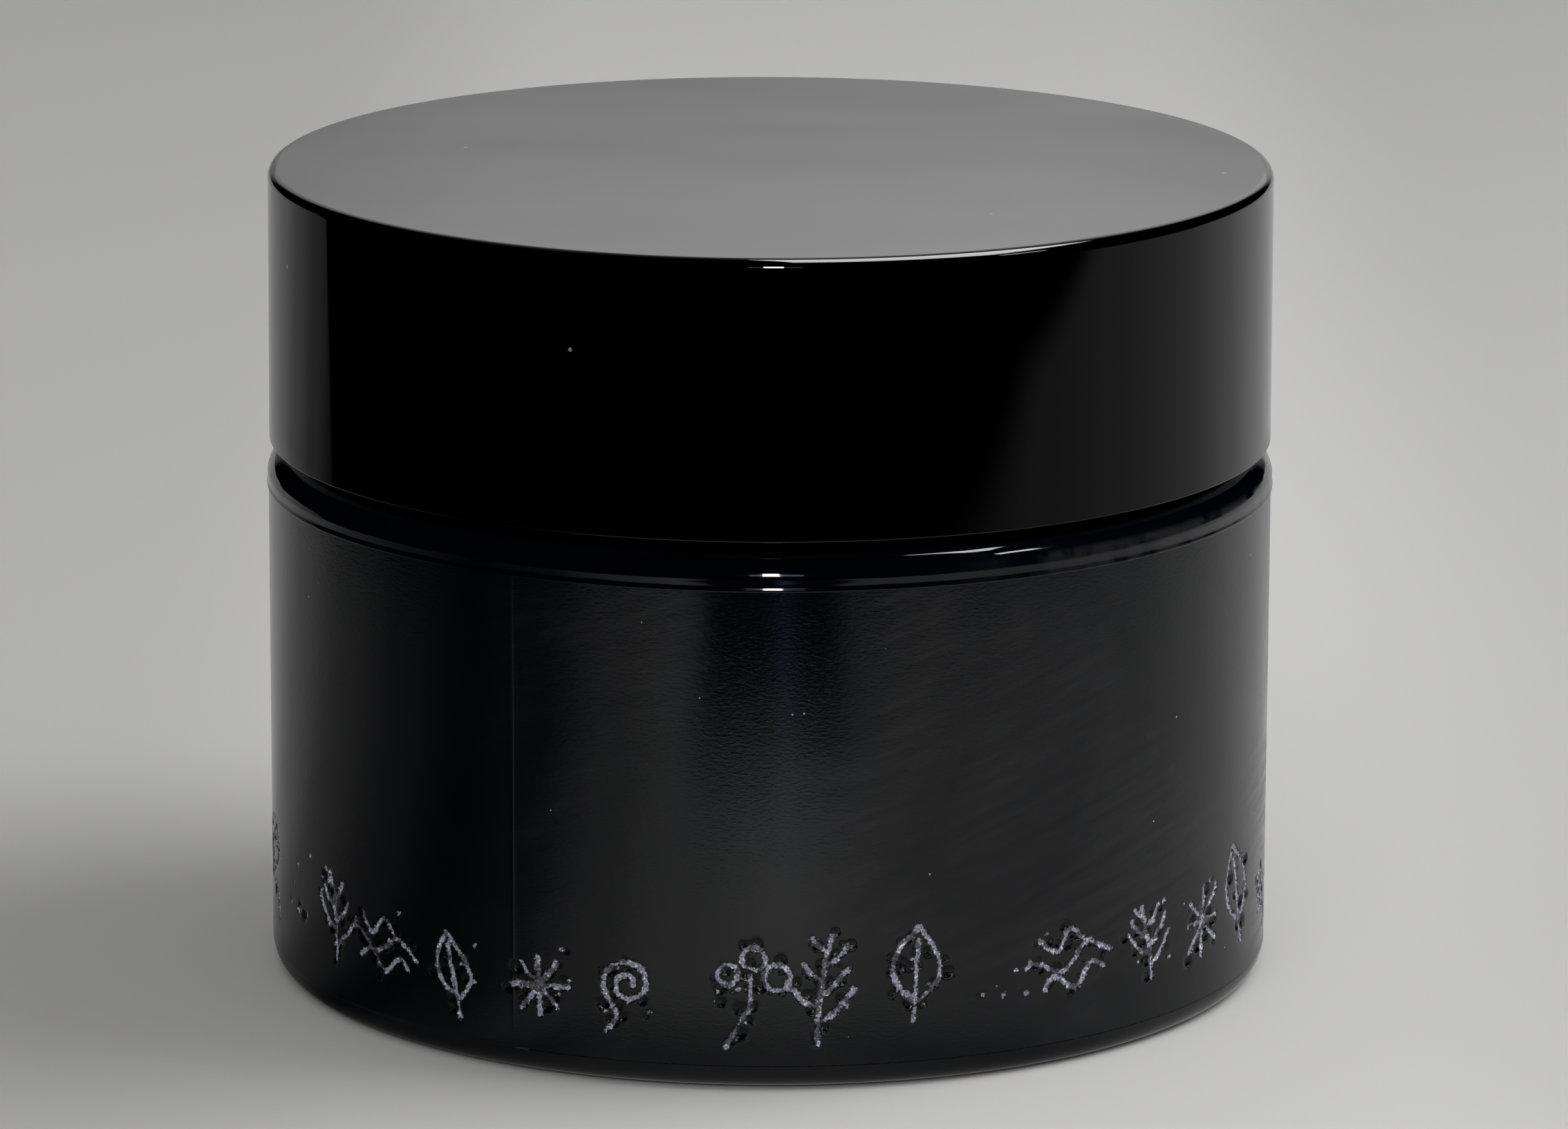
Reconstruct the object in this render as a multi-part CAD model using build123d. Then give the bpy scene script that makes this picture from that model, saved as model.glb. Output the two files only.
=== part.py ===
"""Cosmetic cream jar: thick dark glass, a double-wall screw lid, its wad and a sealing disc.

Millimetres, +Z up, origin at the middle of the foot. The lid is shown screwed down.
"""

from build123d import *
from math import radians, sin, tan
import os

# Whole jar
BODY_R = 30.4          # straight side of the glass
RIM_Z = 44.6           # sealing rim of the glass
TOTAL_H = 49.18        # foot to the top of the closed lid

# Glass outside
HEEL_ROUND = 1.45      # between the foot and the side
FOOT_IN_R = 25.4       # inner edge of the ring that the jar stands on
PUSH_UP = 0.8          # recess under the base
PUSH_UP_R = 22.0
PUSH_UP_ROUND = 3.0
FOOT_ROUND = 1.0       # inner edge of the foot ring
MOULD_LINE_Z = 29.76   # where the side ends and the shoulder begins
SHOULDER_R = 30.5      # the shoulder stands proud of the side
BEAD_H = 0.44          # straight part of the shoulder
SHOULDER_ROUND = 2.2
NECK_R = 25.1          # bottom of the thread
NECK_FOOT_ROUND = 0.8
RIM_ROUND = 0.7

# Glass inside
MOUTH_R = 22.4
MOUTH_FOOT_Z = 33.6    # the mouth runs straight down to here
WELL_R = 24.0
WELL_TOP_Z = 30.6      # the well is at its full width from here down
WELL_FLOOR_Z = 6.5
WELL_FLOOR_ROUND = 6.0
WELL_TOP_ROUND = 2.0   # both corners of the slope between the mouth and the well

# Screw thread: single start, right-handed, six turns to the inch
PITCH = 25.4 / 6
THREAD_TURNS = 1.25
THREAD_START = 100.0   # degrees about Z from +X
JAR_THREAD_Z = 36.2    # middle of the glass ridge where it starts
JAR_CREST_R = 26.3
JAR_HALF_ROOT = 1.25   # half widths of the ridge
JAR_HALF_CREST = 0.5
CAP_BELOW_JAR = 1.6    # the cap's ridge lies this far under the glass one
CAP_THREAD_LATER = 30.0
CAP_ROOT_R = 26.65
CAP_CREST_R = 25.45
CAP_HALF_ROOT = 1.0
CAP_HALF_CREST = 0.4
RIDGE_SUNK = 0.3       # how far a ridge reaches into its wall
RUN_OUT_UNDER = 0.05   # how far below the root a ridge has faded at its end
CAP_RUN_OUT_R = 20.0   # round cutter that fades the cap's ridge
RUN_OUT_DEPTH = 3.0    # sizes of the slab that fades the glass ridge
RUN_OUT_BACK = 1.0
RUN_OUT_LENGTH = 11.0
RUN_OUT_SPARE = 1.0    # how much taller than a ridge the cutters are

# Sealing disc
DISC_T = 0.6
DISC_RIM_R = 24.7
DISC_PLUG_R = 22.0
DISC_FLOOR_Z = 42.0
DISC_EDGE_ROUND = 0.2
DISC_FLOOR_ROUND = 0.4
TAB_W = 9.0
TAB_T = 0.9
TAB_H = 2.3

# Liner wad
LINER_R = 26.2
LINER_T = 1.1
LINER_EDGE_ROUND = 0.1

# Inner cap
CAP_TOP_T = 1.18
CAP_WALL_R = 28.05
CAP_FOOT_Z = 33.2
CAP_FLANGE_R = 28.8
CAP_FLANGE_T = 0.9
CAP_BORE_ROUND = 0.3   # both ends of the threaded bore
CAP_FLANGE_ROUND = 0.2
CAP_TOP_ROUND = 0.8
RIB_COUNT = 24
RIB_W = 1.1
RIB_DEPTH = 2.0        # before it is trimmed to the shell
RIB_GRIP = 0.02        # the ribs press this far into the shell

# Overshell
SHELL_FOOT_Z = 32.65
SHELL_TOP_R = 30.28
SHELL_FOOT_R = 30.34
SHELL_IN_R = 28.9
SHELL_EDGE_ROUND = 0.6
SHELL_IN_ROUND = 0.5
SHELL_FOOT_ROUND = 0.25

SHORTEST = 1e-6        # two ends closer than this are one point

# Heights that follow from the stack on the rim
SHOULDER_Z = MOULD_LINE_Z + BEAD_H + SHOULDER_ROUND
LINER_Z = RIM_Z + DISC_T
CAP_CEILING_Z = LINER_Z + LINER_T
CAP_TOP_Z = CAP_CEILING_Z + CAP_TOP_T


def corner_round(before, corner, after, radius):
    """Where a rounding leaves the first side, its middle, and where it joins the second side."""
    back, ahead = (before - corner).normalized(), (after - corner).normalized()
    half = radians(back.get_angle(ahead)) / 2
    inward = (back + ahead).normalized()
    middle = corner + inward * (radius / sin(half) - radius)
    reach = radius / tan(half)
    return corner + back * reach, middle, corner + ahead * reach


def turned(corners):
    """A solid turned about Z from the corners of its section: radius, height and rounding."""
    points = [Vector(r, 0, z) for r, z, _ in corners]
    stops, edges = [], []
    for i, (_, _, radius) in enumerate(corners):
        if radius:
            after = points[(i + 1) % len(points)]
            start, middle, end = corner_round(points[i - 1], points[i], after, radius)
            edges.append(ThreePointArc(start, middle, end))
            stops.append((start, end))
        else:
            stops.append((points[i], points[i]))
    for (_, end), (start, _) in zip(stops, stops[1:] + stops[:1]):
        if (start - end).length > SHORTEST:
            edges.append(Line(end, start))
    return revolve(make_face(edges), Axis.Z)


def ridge(start_z, root_r, crest_r, half_root, half_crest):
    """A helical thread ridge that starts on +X, its flanks carried on into the wall it grows from."""
    rise = crest_r - root_r
    sunk_r = root_r - RIDGE_SUNK * rise / abs(rise)
    half_sunk = half_root + (half_root - half_crest) * RIDGE_SUNK / abs(rise)
    section = make_face(Polyline(
        (sunk_r, 0, start_z - half_sunk), (crest_r, 0, start_z - half_crest),
        (crest_r, 0, start_z + half_crest), (sunk_r, 0, start_z + half_sunk), close=True))
    path = Helix(PITCH, PITCH * THREAD_TURNS, root_r, center=(0, 0, start_z))
    return sweep(section, path=path, is_frenet=True)


def at_ridge_ends(cutter, start_z):
    """The cutter at both ends of a ridge."""
    end_z = start_z + PITCH * THREAD_TURNS
    turned_to_end = Rot(0, 0, 360 * THREAD_TURNS) * mirror(cutter, Plane.XZ)
    return [Pos(0, 0, start_z) * cutter, Pos(0, 0, end_z) * turned_to_end]


def jar_thread():
    """The glass ridge, fading into the neck at both ends."""
    whole = ridge(JAR_THREAD_Z, NECK_R, JAR_CREST_R, JAR_HALF_ROOT, JAR_HALF_CREST)
    height = 2 * JAR_HALF_ROOT + RUN_OUT_SPARE
    slab = Pos(NECK_R - RUN_OUT_UNDER, -RUN_OUT_BACK, 0) * Box(
        RUN_OUT_DEPTH, RUN_OUT_LENGTH, height, align=(Align.MIN, Align.MIN, Align.CENTER))
    for cutter in at_ridge_ends(slab, JAR_THREAD_Z):
        whole -= cutter
    return Rot(0, 0, THREAD_START) * whole


def cap_thread():
    """The cap's ridge, fading into its wall at both ends."""
    start_z = JAR_THREAD_Z - CAP_BELOW_JAR + PITCH * CAP_THREAD_LATER / 360
    whole = ridge(start_z, CAP_ROOT_R, CAP_CREST_R, CAP_HALF_ROOT, CAP_HALF_CREST)
    height = 2 * CAP_HALF_ROOT + RUN_OUT_SPARE
    offset = CAP_ROOT_R + RUN_OUT_UNDER - CAP_RUN_OUT_R
    plug = Pos(offset, 0, 0) * Cylinder(CAP_RUN_OUT_R, height)
    for cutter in at_ridge_ends(plug, start_z):
        whole -= cutter
    return Rot(0, 0, THREAD_START + CAP_THREAD_LATER) * whole


def glass_jar():
    """Moulded glass: foot ring, straight side, mould line, shoulder, threaded neck and well."""
    blank = turned([
        (0, PUSH_UP, 0),
        (PUSH_UP_R, PUSH_UP, PUSH_UP_ROUND),
        (FOOT_IN_R, 0, FOOT_ROUND),
        (BODY_R, 0, HEEL_ROUND),
        (BODY_R, MOULD_LINE_Z, 0),
        (SHOULDER_R, MOULD_LINE_Z, 0),
        (SHOULDER_R, SHOULDER_Z, SHOULDER_ROUND),
        (NECK_R, SHOULDER_Z, NECK_FOOT_ROUND),
        (NECK_R, RIM_Z, RIM_ROUND),
        (MOUTH_R, RIM_Z, RIM_ROUND),
        (MOUTH_R, MOUTH_FOOT_Z, WELL_TOP_ROUND),
        (WELL_R, WELL_TOP_Z, WELL_TOP_ROUND),
        (WELL_R, WELL_FLOOR_Z, WELL_FLOOR_ROUND),
        (0, WELL_FLOOR_Z, 0),
    ])
    return blank + jar_thread()


def sealing_disc():
    """Thin dished disc: a rim that lies on the glass, a plug wall, a floor and a pull tab."""
    in_r = DISC_PLUG_R - DISC_T
    top_z = RIM_Z + DISC_T
    dish = turned([
        (0, DISC_FLOOR_Z, 0),
        (DISC_PLUG_R, DISC_FLOOR_Z, DISC_T),
        (DISC_PLUG_R, RIM_Z, DISC_EDGE_ROUND),
        (DISC_RIM_R, RIM_Z, DISC_EDGE_ROUND),
        (DISC_RIM_R, top_z, DISC_EDGE_ROUND),
        (in_r, top_z, DISC_T),
        (in_r, DISC_FLOOR_Z + DISC_T, DISC_FLOOR_ROUND),
        (0, DISC_FLOOR_Z + DISC_T, 0),
    ])
    foot_z = DISC_FLOOR_Z + DISC_T / 2
    tab = Pos(0, 0, foot_z) * Box(
        TAB_W, TAB_T, TAB_H, align=(Align.CENTER, Align.CENTER, Align.MIN))
    corners = tab.edges().filter_by(Axis.Y).group_by(Axis.Z)[-1]
    return dish + fillet(corners, TAB_H / 2)


def lid_liner():
    """Flat foam wad between the inner cap and the sealing disc."""
    top_z = LINER_Z + LINER_T
    return turned([
        (0, LINER_Z, 0),
        (LINER_R, LINER_Z, LINER_EDGE_ROUND),
        (LINER_R, top_z, LINER_EDGE_ROUND),
        (0, top_z, 0),
    ])


def lid_inner_cap():
    """Threaded cup with gripping ribs and a foot flange, held inside the overshell."""
    flange_z = CAP_FOOT_Z + CAP_FLANGE_T
    cup = turned([
        (0, CAP_CEILING_Z, 0),
        (CAP_ROOT_R, CAP_CEILING_Z, CAP_BORE_ROUND),
        (CAP_ROOT_R, CAP_FOOT_Z, CAP_BORE_ROUND),
        (CAP_FLANGE_R, CAP_FOOT_Z, CAP_FLANGE_ROUND),
        (CAP_FLANGE_R, flange_z, CAP_FLANGE_ROUND),
        (CAP_WALL_R, flange_z, CAP_FLANGE_ROUND),
        (CAP_WALL_R, CAP_TOP_Z, CAP_TOP_ROUND),
        (0, CAP_TOP_Z, 0),
    ])
    rib_top_z = CAP_TOP_Z - 2 * SHELL_IN_ROUND
    reach_r = SHELL_IN_R + RIB_GRIP
    rib_foot_z = CAP_FOOT_Z + CAP_FLANGE_T / 2
    rib = Pos(CAP_WALL_R - RIDGE_SUNK, 0, rib_foot_z) * Box(
        RIB_DEPTH, RIB_W, rib_top_z - rib_foot_z, align=(Align.MIN, Align.CENTER, Align.MIN))
    above_flange = Pos(0, 0, flange_z) * Cylinder(
        reach_r, TOTAL_H, align=(Align.CENTER, Align.CENTER, Align.MIN))
    ribs = [place * rib & above_flange for place in PolarLocations(0, RIB_COUNT)]
    return cup + ribs + cap_thread()


def lid_shell():
    """Smooth overshell with a flat top, a small edge round and a slight draft."""
    return turned([
        (0, CAP_TOP_Z, 0),
        (SHELL_IN_R, CAP_TOP_Z, SHELL_IN_ROUND),
        (SHELL_IN_R, SHELL_FOOT_Z, SHELL_FOOT_ROUND),
        (SHELL_FOOT_R, SHELL_FOOT_Z, SHELL_FOOT_ROUND),
        (SHELL_TOP_R, TOTAL_H, SHELL_EDGE_ROUND),
        (0, TOTAL_H, 0),
    ])


os.makedirs("parts", exist_ok=True)
for make in (glass_jar, sealing_disc, lid_liner, lid_inner_cap, lid_shell):
    export_step(make(), f"parts/{make.__name__}.step")
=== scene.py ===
"""Looks of a dark glass cream jar with a double-wall screw lid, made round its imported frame."""

import math
import random

import bmesh
import bpy
from bpy.props import FloatProperty, FloatVectorProperty, IntProperty, PointerProperty
from mathutils import Matrix, Vector, kdtree, noise


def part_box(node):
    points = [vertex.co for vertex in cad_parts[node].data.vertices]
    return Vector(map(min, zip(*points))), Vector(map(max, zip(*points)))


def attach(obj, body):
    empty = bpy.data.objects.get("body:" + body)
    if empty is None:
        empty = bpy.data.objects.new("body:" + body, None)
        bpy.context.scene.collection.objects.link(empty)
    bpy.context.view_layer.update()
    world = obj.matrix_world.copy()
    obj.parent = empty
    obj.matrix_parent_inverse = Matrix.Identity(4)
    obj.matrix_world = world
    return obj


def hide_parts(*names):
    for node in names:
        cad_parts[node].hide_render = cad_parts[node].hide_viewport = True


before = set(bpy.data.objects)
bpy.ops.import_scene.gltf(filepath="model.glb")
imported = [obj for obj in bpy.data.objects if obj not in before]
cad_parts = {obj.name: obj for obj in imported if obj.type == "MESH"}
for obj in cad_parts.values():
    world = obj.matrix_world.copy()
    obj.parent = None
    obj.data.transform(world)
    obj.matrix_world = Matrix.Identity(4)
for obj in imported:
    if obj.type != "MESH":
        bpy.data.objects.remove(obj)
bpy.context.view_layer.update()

bl_info = {
    "name": "Cream Jar",
    "version": (1, 0, 0),
    "blender": (4, 5, 0),
    "location": "3D View > Sidebar > Cream Jar",
    "description": "Builds a dark glass cream jar with a screw lid and an engraved foot",
    "category": "Add Mesh",
}

MM = 0.001
GLASS_LOW, GLASS_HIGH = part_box("glass_jar")
SHELL_LOW, SHELL_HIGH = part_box("lid_shell")
CAP_LOW, CAP_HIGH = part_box("lid_inner_cap")
WAD_LOW, WAD_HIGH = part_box("lid_liner")
DISC_LOW, DISC_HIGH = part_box("sealing_disc")

# Glass
PUSH_UP, PUSH_UP_R = 0.8 * MM, 22.0 * MM
FOOT_IN_R = 25.4 * MM
SHOULDER_PROUD = 0.1 * MM
BEAD_H = 0.44 * MM
HEEL_STEP = 0.03 * MM
HEEL_GAP = 0.05 * MM
LINE_ROUND = 0.08 * MM
TINY = 0.002 * MM
WAVE_DEPTH = 0.05 * MM
NECK_R = 25.1 * MM
MOUTH_FOOT_Z, WELL_TOP_Z, WELL_FLOOR_Z = 33.6 * MM, 30.6 * MM, 6.5 * MM
BAND_TOP_Z = 12.4 * MM
SIDE_STEPS, PLAIN_STEPS = 800, 200
BAND_ROWS, UPPER_ROWS, NECK_ROWS = 45, 7, 44
SEAM_TURN = math.radians(-29.3)
SEAM_HEIGHT = 0.025 * MM

# Thread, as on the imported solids
PITCH = 25.4 / 6 * MM
THREAD_TURNS = 1.25
THREAD_START = math.radians(100)
JAR_THREAD_Z = 36.2 * MM
JAR_THREAD = {"rise": 1.2 * MM, "half_root": 1.25 * MM, "half_crest": 0.5 * MM}
CAP_THREAD_LATER = math.radians(30)
CAP_THREAD_Z = JAR_THREAD_Z - 1.6 * MM + PITCH * CAP_THREAD_LATER / math.tau
CAP_THREAD = {"rise": -1.2 * MM, "half_root": 1.0 * MM, "half_crest": 0.4 * MM}
RUN_OUT = math.radians(18)

# Lid, wad and disc
SHELL_IN_R = 28.9 * MM
SHELL_TOP_R = 30.28 * MM
CAP_ROOT_R, CAP_WALL_R, CAP_FLANGE_R = 26.65 * MM, 28.05 * MM, 28.8 * MM
CAP_FLANGE_T = 0.9 * MM
CAP_STEPS, RIB_COUNT = 240, 24
DISC_T = 0.6 * MM
DISC_PLUG_R = 22.0 * MM
LINER_PRESS_IN, LINER_PRESS_OUT, LINER_PRESS = 22.2 * MM, 25.0 * MM, 0.12 * MM


# ---------------------------------------------------------------- settings

class JarGlassSettings(bpy.types.PropertyGroup):
    """Sizes and colours of the glass."""

    side_radius: FloatProperty(
        name="Side radius", description="Radius of the straight side",
        default=GLASS_HIGH.x - SHOULDER_PROUD, unit="LENGTH")
    rim_height: FloatProperty(
        name="Rim height", description="Foot to sealing rim", default=GLASS_HIGH.z, unit="LENGTH")
    mould_line: FloatProperty(
        name="Mould line", description="Height where the side meets the shoulder",
        default=29.76 * MM, unit="LENGTH")
    heel_rounding: FloatProperty(
        name="Heel rounding", description="Rounding between foot and side", default=1.45 * MM, unit="LENGTH")
    shoulder_rounding: FloatProperty(
        name="Shoulder rounding", description="Rounding above the mould line",
        default=2.2 * MM, unit="LENGTH")
    mouth_radius: FloatProperty(
        name="Mouth radius", description="Inside of the neck", default=22.4 * MM, unit="LENGTH")
    well_radius: FloatProperty(
        name="Well radius", description="Inside of the body", default=24.0 * MM, unit="LENGTH")
    glass_colour: FloatVectorProperty(
        name="Glass", description="Colour of the near-opaque glass",
        default=(0.0006, 0.0010, 0.0022), size=3, subtype="COLOR")
    # Colour of the handling film on the satin side, also used for the painted sheen on the shoulder.
    film_and_sheen_colour: FloatVectorProperty(
        name="Film", description="Handling film on the satin side",
        default=(0.0120, 0.0122, 0.0138), size=3, subtype="COLOR")


class EngravingSettings(bpy.types.PropertyGroup):
    """The ornament scratched round the foot."""

    line_width: FloatProperty(
        name="Line width", description="Width of a scratched line", default=0.30 * MM, unit="LENGTH")
    line_depth: FloatProperty(
        name="Line depth", description="Depth of a scratched line", default=0.09 * MM, unit="LENGTH")
    chip_radius: FloatProperty(
        name="Chip radius", description="Largest chip beside a line", default=0.42 * MM, unit="LENGTH")
    seed: IntProperty(name="Seed", description="Which hand-drawn version is cut", default=11)
    frost_colour: FloatVectorProperty(
        name="Frost", description="Colour of the crushed glass in a line",
        default=(0.50, 0.49, 0.62), size=3, subtype="COLOR")


class LidSettings(bpy.types.PropertyGroup):
    """Sizes and colours of the lid and of what it holds."""

    edge_rounding: FloatProperty(
        name="Edge rounding", description="Rounding of the top edge", default=0.6 * MM, unit="LENGTH")
    shell_colour: FloatVectorProperty(
        name="Overshell", description="Colour of the glossy overshell",
        default=(0.0003, 0.0003, 0.0003), size=3, subtype="COLOR")
    cap_colour: FloatVectorProperty(
        name="Inner cap", description="Colour of the threaded inner cap",
        default=(0.014, 0.014, 0.015), size=3, subtype="COLOR")
    liner_colour: FloatVectorProperty(
        name="Liner", description="Colour of the foam wad", default=(0.78, 0.78, 0.75), size=3, subtype="COLOR")
    disc_colour: FloatVectorProperty(
        name="Disc", description="Colour of the sealing disc", default=(0.72, 0.74, 0.74), size=3, subtype="COLOR")


class StudioSettings(bpy.types.PropertyGroup):
    """Floor, lights and camera."""

    floor_colour: FloatVectorProperty(
        name="Floor", description="Colour of the pale floor", default=(0.56, 0.556, 0.546), size=3, subtype="COLOR")
    key_power: FloatProperty(
        name="Key light", description="Power of the soft light on the right", default=2.0, unit="POWER")
    fill_strength: FloatProperty(
        name="Fill", description="Brightness of the even fill", default=0.54)
    lens: FloatProperty(name="Lens", description="Focal length", default=195.74, unit="CAMERA")


class CreamJarSettings(bpy.types.PropertyGroup):
    """Everything the panel shows."""

    glass: PointerProperty(type=JarGlassSettings)
    engraving: PointerProperty(type=EngravingSettings)
    lid: PointerProperty(type=LidSettings)
    studio: PointerProperty(type=StudioSettings)


# ---------------------------------------------------------------- shaping

def draw_section(bm, corners, segments=8):
    """A section line through corners of (radius, height, rounding), rounded where a rounding is given."""
    verts = [bm.verts.new((r, 0, z)) for r, z, _ in corners]
    for pair in zip(verts, verts[1:]):
        bm.edges.new(pair)
    for vert, (_, _, rounding) in zip(verts, corners):
        if rounding:
            before, after = (e.other_vert(vert).co - vert.co for e in vert.link_edges)
            reach = rounding / math.tan(before.angle(after) / 2)
            bmesh.ops.bevel(bm, geom=[vert], affect="VERTICES", offset=reach, offset_type="OFFSET",
                            segments=segments, profile=0.5, material=-1)


def turn_section(bm, geom, steps, start=0.0):
    """Spins a section once about the axis, from a start angle, and closes it."""
    verts = [g for g in geom if isinstance(g, bmesh.types.BMVert)]
    bmesh.ops.rotate(bm, verts=verts, cent=(0, 0, 0), matrix=Matrix.Rotation(start, 3, "Z"))
    bmesh.ops.spin(bm, geom=geom, cent=(0, 0, 0), axis=(0, 0, 1), angle=math.tau, steps=steps, use_merge=True)


def turned_part(corners, steps, segments=8, start=0.0):
    """A closed bmesh turned from one section that starts and ends on the axis."""
    bm = bmesh.new()
    draw_section(bm, corners, segments)
    turn_section(bm, bm.verts[:] + bm.edges[:], steps, start)
    close_up(bm)
    return bm


def close_up(bm):
    """Merges doubles at the poles and points the faces outwards."""
    bmesh.ops.remove_doubles(bm, verts=bm.verts[:], dist=1e-7)
    bmesh.ops.recalc_face_normals(bm, faces=bm.faces[:])


def join_into(bm, other):
    """Adds another bmesh's faces to this one."""
    held = bpy.data.meshes.new("held")
    other.to_mesh(held)
    other.free()
    bm.from_mesh(held)
    bpy.data.meshes.remove(held)


def finish_piece(bm, name, materials, body, stands_for, crease=35.0):
    """Makes the object, shades it smooth with crisp creases, and ties it to the frame."""
    mesh = bpy.data.meshes.new(name)
    bm.to_mesh(mesh)
    bm.free()
    for material in materials:
        mesh.materials.append(material)
    mesh.shade_smooth()
    mesh.set_sharp_from_angle(angle=math.radians(crease))
    piece = bpy.data.objects.new(name, mesh)
    bpy.context.scene.collection.objects.link(piece)
    even = piece.modifiers.new("even_normals", "WEIGHTED_NORMAL")
    even.keep_sharp = True
    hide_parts(stands_for)
    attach(piece, body)
    return piece


def radius_of(co):
    return math.hypot(co.x, co.y)


def set_radius(vert, radius):
    scale = radius / radius_of(vert.co)
    vert.co.x *= scale
    vert.co.y *= scale


def smoothstep(low, high, value):
    t = min(1.0, max(0.0, (value - low) / (high - low)))
    return t * t * (3 - 2 * t)


def thread_rise(co, start_z, start_turn, shape):
    """How far a helical ridge stands out of its wall at a point, fading at both ends."""
    turn = (math.atan2(co.y, co.x) - start_turn) % math.tau
    best = 0.0
    for lap in range(math.ceil(THREAD_TURNS)):
        along = turn + lap * math.tau
        if along > THREAD_TURNS * math.tau:
            continue
        off = abs(co.z - start_z - PITCH * along / math.tau)
        fade = smoothstep(0, RUN_OUT, along) * smoothstep(0, RUN_OUT, THREAD_TURNS * math.tau - along)
        best = max(best, fade * (1 - smoothstep(shape["half_crest"], shape["half_root"], off)))
    return shape["rise"] * best


def cut_thread(bm, wall_r, low, high, start_z, start_turn, shape):
    """Moves the points of a round wall out or in, to raise a thread on it."""
    for vert in bm.verts:
        if low < vert.co.z < high and abs(radius_of(vert.co) - wall_r) < 0.01 * MM:
            set_radius(vert, wall_r + thread_rise(vert.co, start_z, start_turn, shape))


# ---------------------------------------------------------------- ornament

def wobble(points, amount, phase):
    """Shakes a line a little, as an unsteady hand does."""
    shaken = []
    for i, (u, z) in enumerate(points):
        push = noise.noise_vector(Vector((i * 0.35, phase, 0.0)))
        shaken.append((u + amount * push.x, z + amount * push.y))
    return shaken


def curve(formula, count=24):
    return [formula(i / (count - 1)) for i in range(count)]


def fern(height, lean, draw):
    """A bent stem with short side twigs, longest at its foot."""
    def stem(t):
        return lean * t * t, height * t
    lines = [curve(stem)]
    for i in range(6):
        t = 0.2 + 0.13 * i
        side = -1 if i % 2 else 1
        reach = (2.5 - 0.28 * i) * draw.uniform(0.85, 1.15)
        u, z = stem(t)
        lines.append(curve(lambda s: (u + side * reach * s * (1 - 0.2 * s), z + reach * 0.75 * s ** 1.4), 10))
    return lines


def leaf(height, lean, draw):
    """Two bowed sides and a midrib that runs on as a stalk."""
    belly = 0.26 * height

    def side(sign):
        return lambda t: (lean * t + sign * belly * math.sin(math.pi * t ** 0.85), height * (0.2 + 0.8 * t))
    rib = curve(lambda t: (lean * (t - 0.15), height * (0.85 * t)), 12)
    return [curve(side(1), 20), curve(side(-1), 20), rib]


def tendril(height, lean, draw):
    """A spiral that opens into a bowed stalk."""
    radius = 0.34 * height
    turns = draw.uniform(1.6, 1.9)

    def coil(t):
        angle = math.tau * turns * t
        r = 0.12 * height * 0.6 + (radius - 0.07 * height) * t
        return r * math.cos(angle), height * 0.62 + r * math.sin(angle)
    end_u, end_z = coil(1.0)
    stalk = curve(lambda t: (end_u + lean * t + 0.5 * math.sin(math.pi * t), end_z * (1 - t)), 12)
    return [curve(coil, 44), stalk]


def ripple(height, lean, draw):
    """Three stacked waves, the middle one longest."""
    lines = []
    for i, length in enumerate((4.4, 6.2, 3.6)):
        base = height * (0.22 + 0.24 * i)
        lines.append(curve(lambda t: (length * (t - 0.5) + lean * i * 0.3,
                                      base + 0.55 * math.sin(math.tau * 1.5 * t + i)), 26))
    return lines


def star(height, lean, draw):
    """Crossed strokes of uneven length."""
    lines = []
    middle = height * 0.5
    for i in range(4):
        angle = math.pi * (i / 4) + draw.uniform(-0.12, 0.12)
        reach = height * draw.uniform(0.26, 0.40)
        lines.append(curve(lambda t: ((2 * t - 1) * reach * math.cos(angle),
                                      middle + (2 * t - 1) * reach * math.sin(angle)), 12))
    return lines


def berries(height, lean, draw):
    """A bowed branch that ends in three small rings."""
    lines = [curve(lambda t: (lean * t + 0.8 * math.sin(2.4 * t), height * 0.7 * t), 18)]
    for i, (du, dz) in enumerate(((-1.3, 0.5), (0.2, 1.5), (1.6, 0.4))):
        u, z, r = lean + 0.5 + du, height * 0.62 + dz, 0.62 + 0.08 * i
        lines.append(curve(lambda t: (u + r * math.cos(math.tau * t), z + r * math.sin(math.tau * t)), 14))
    return lines


def dots(height, lean, draw):
    """A few pecked dots in a row."""
    return [[(-1.4 + 1.4 * i, height * 0.32 + draw.uniform(-0.3, 0.3))] * 2 for i in range(3)]


def flecks(height, draw):
    """Tiny marks where the point slipped."""
    spots = [(draw.uniform(-2.0, 2.0), draw.uniform(0.1, 1.0) * height) for _ in range(3)]
    return [[(u, z), (u + 0.12, z + 0.05)] for u, z in spots]


GARLAND = (fern, tendril, leaf, dots, star, ripple, fern, berries, leaf, tendril, dots, fern,
           ripple, leaf, star, tendril, berries, fern, leaf, dots, ripple, fern, star, leaf,
           tendril, berries, dots, fern, leaf, ripple, tendril, star, fern, leaf)


def garland_lines(settings, circumference):
    """The ornament's lines as points (distance round the side, height) in metres, each with its weight."""
    draw = random.Random(settings.seed)
    pitch = circumference / len(GARLAND)
    lines = []
    for i, motif in enumerate(GARLAND):
        height = draw.uniform(4.4, 6.9)
        lean = draw.uniform(-1.0, 1.0)
        tilt = math.radians(draw.uniform(-12, 12))
        u0 = (i + 0.5) * pitch - circumference / 2 + draw.uniform(-0.4, 0.4) * MM
        z0 = draw.uniform(2.5, 4.1) * MM
        drawn = [(line, draw.uniform(0.8, 1.15)) for line in motif(height, lean, draw)]
        drawn += [(line, draw.uniform(0.4, 0.7)) for line in flecks(height, draw)]
        for j, (line, weight) in enumerate(drawn):
            turned = [(u * math.cos(tilt) - z * math.sin(tilt), u * math.sin(tilt) + z * math.cos(tilt))
                      for u, z in wobble(line, 0.12, 7.3 * i + 1.9 * j)]
            lines.append(([(u0 + u * MM, z0 + z * MM) for u, z in turned], weight))
    return lines


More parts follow.
